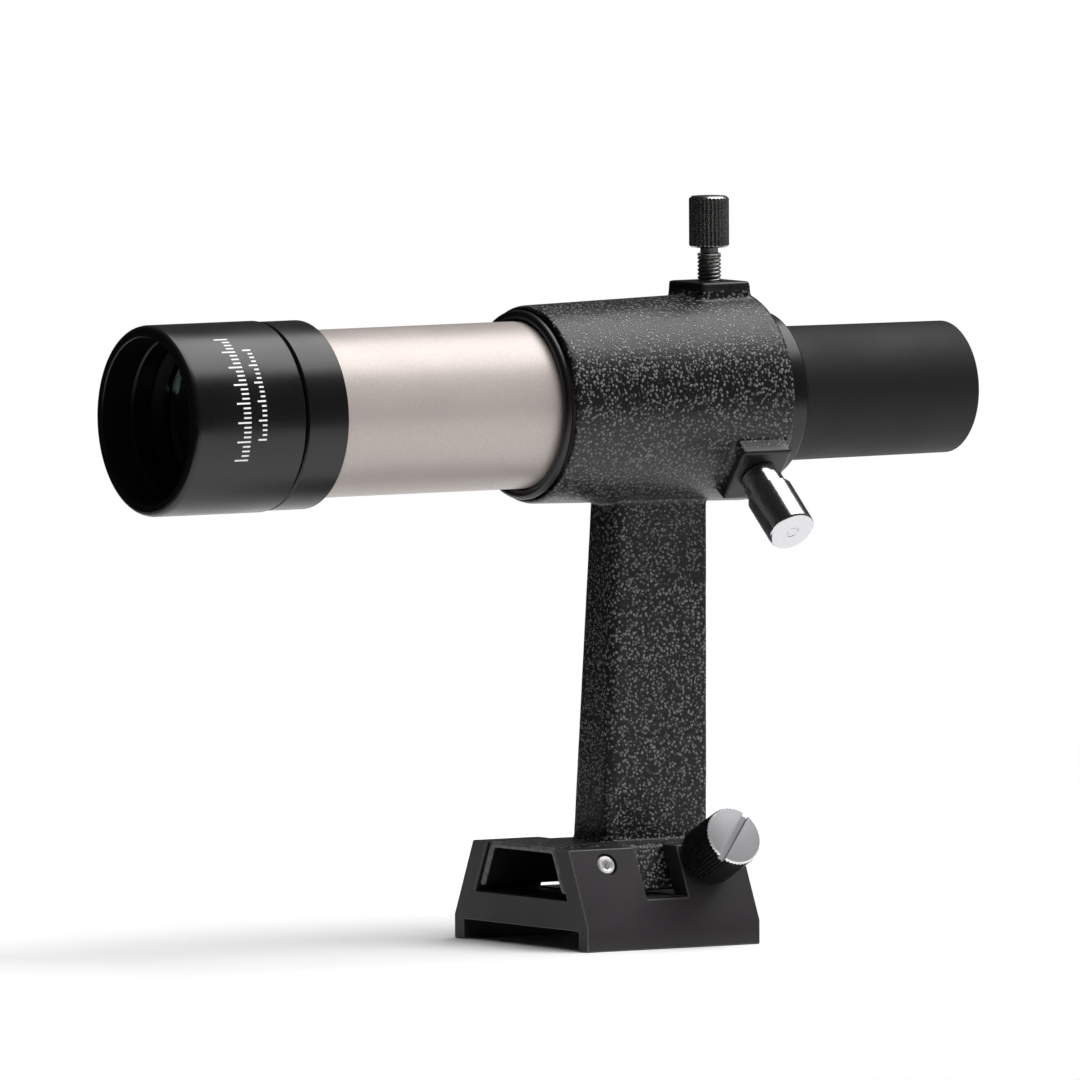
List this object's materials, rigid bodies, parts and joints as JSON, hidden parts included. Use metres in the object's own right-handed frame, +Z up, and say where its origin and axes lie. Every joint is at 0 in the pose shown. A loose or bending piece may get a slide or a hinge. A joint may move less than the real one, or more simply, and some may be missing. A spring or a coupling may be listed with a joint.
{
  "type": "finder scope",
  "caption": "Small refracting finder scope in a three-point alignment bracket on a tall stalk, clamped in a dovetail shoe.",
  "frame": {"origin": "middle of the shoe's underside, level with the underside of its two rails", "axes": "+Y along the line of sight towards the sky, +X to the observer's right, +Z up"},
  "size_m": [0.0686, 0.1945, 0.153],
  "materials": {
    "shoe_black": "satin black anodised",
    "knob_black": "black anodised knurl, bright machined end",
    "cell_black": "semi-gloss black anodised",
    "eyepiece_black": "matte black",
    "hammertone": "glossy black hammertone powder coat with pale specks",
    "tube_paint": "champagne metallic paint",
    "screw_steel": "bright plated",
    "bright_chrome": "polished",
    "ring_rubber": "smooth",
    "lens_glass": "coated"
  },
  "bodies": {
    "shoe": {"dovetail_shoe": "shoe_black"},
    "clamp_stud": {"clamp_screw_stud": "screw_steel"},
    "clamp_head": {"clamp_screw_head": "knob_black"},
    "grub_screw": {"set_screw": "bright_chrome"},
    "bracket": {"bracket_casting": "hammertone", "plunger_housing": "bright_chrome", "plunger_spring": "screw_steel"},
    "top_stud": {"top_adjuster_stud": "screw_steel"},
    "top_head": {"top_adjuster_head": "screw_steel"},
    "side_stud": {"side_adjuster_stud": "screw_steel"},
    "side_head": {"side_adjuster_head": "screw_steel"},
    "pin": {"plunger_pin": "screw_steel"},
    "pivot_ring": {"tube_o_ring": "ring_rubber"},
    "tube": {"main_tube": "tube_paint", "rear_collar": "cell_black", "eyepiece_tube": "eyepiece_black", "eye_lens": "lens_glass", "eyepiece_spacer": "eyepiece_black", "field_lens": "lens_glass", "eyepiece_retaining_ring": "eyepiece_black", "reticle_ring": "eyepiece_black", "crosshair_wires": "screw_steel"},
    "lens_pack": {"crown_lens": "lens_glass", "lens_spacer": "eyepiece_black", "flint_lens": "lens_glass", "objective_retaining_ring": "eyepiece_black"},
    "cell": {"objective_cell": "cell_black"},
    "focus_lock": {"lock_ring": "cell_black"}
  },
  "joints": [
    {"name": "bracket_slide", "type": "slide", "parent": "shoe", "child": "bracket", "axis": [0, 1, 0], "range_m": [-0.042, 0.042]},
    {"name": "clamp_travel", "type": "slide", "parent": "shoe", "child": "clamp_stud", "axis": [-0.9068, 0, 0.4217], "range_m": [0, 0.004]},
    {"name": "clamp_turn", "type": "hinge", "parent": "clamp_stud", "child": "clamp_head", "pos_m": [-0.01994, -0.0104, 0.0176], "axis": [-0.9068, 0, 0.4217], "range_deg": [0, 1800]},
    {"name": "grub_turn", "type": "hinge", "parent": "shoe", "child": "grub_screw", "pos_m": [-0.01994, 0.0131, 0.0176], "axis": [-0.9068, 0, 0.4217], "continuous": true},
    {"name": "tube_tilt", "type": "hinge", "parent": "bracket", "child": "pivot_ring", "pos_m": [0, 0.021, 0.1115], "axis": [-0.766, 0, 0.6428], "range_deg": [-2, 2]},
    {"name": "tube_swing", "type": "hinge", "parent": "pivot_ring", "child": "tube", "pos_m": [0, 0.021, 0.1115], "axis": [0, 0, 1], "range_deg": [0, 1.5]},
    {"name": "top_travel", "type": "slide", "parent": "bracket", "child": "top_stud", "axis": [0, 0, 1], "range_m": [-0.00123, 0.00123]},
    {"name": "top_turn", "type": "hinge", "parent": "top_stud", "child": "top_head", "pos_m": [0, -0.02515, 0.1115], "axis": [0, 0, 1], "range_deg": [-556, 556]},
    {"name": "side_travel", "type": "slide", "parent": "bracket", "child": "side_stud", "axis": [0.766, 0, -0.6428], "range_m": [0, 0.000926]},
    {"name": "side_turn", "type": "hinge", "parent": "side_stud", "child": "side_head", "pos_m": [0, -0.02515, 0.1115], "axis": [0.766, 0, -0.6428], "range_deg": [0, 417]},
    {"name": "pin_travel", "type": "slide", "parent": "bracket", "child": "pin", "axis": [-0.766, 0, -0.6428], "range_m": [-0.00159, 0.00159], "deforming": ["plunger_spring"]},
    {"name": "focus_travel", "type": "slide", "parent": "tube", "child": "lens_pack", "axis": [0, 1, 0], "range_m": [0, 0.0025]},
    {"name": "cell_turn", "type": "hinge", "parent": "lens_pack", "child": "cell", "pos_m": [0, 0.1, 0.1115], "axis": [0, 1, 0], "range_deg": [0, 900]},
    {"name": "lock_turn", "type": "hinge", "parent": "lens_pack", "child": "focus_lock", "pos_m": [0, 0.08, 0.1115], "axis": [0, 1, 0], "range_deg": [0, 900]}
  ],
  "couplings": [
    {"joint": "clamp_travel", "follows": "clamp_turn", "m_per_rad": 0.00012732},
    {"joint": "top_travel", "follows": "tube_tilt", "m_per_rad": 0.035353},
    {"joint": "top_turn", "follows": "tube_tilt", "ratio": 277.66},
    {"joint": "pin_travel", "follows": "tube_tilt", "m_per_rad": -0.045449},
    {"joint": "side_travel", "follows": "tube_swing", "m_per_rad": 0.035353},
    {"joint": "side_turn", "follows": "tube_swing", "ratio": 277.66},
    {"joint": "focus_travel", "follows": "cell_turn", "m_per_rad": 0.00015915},
    {"joint": "lock_turn", "follows": "cell_turn", "ratio": 1}
  ]
}
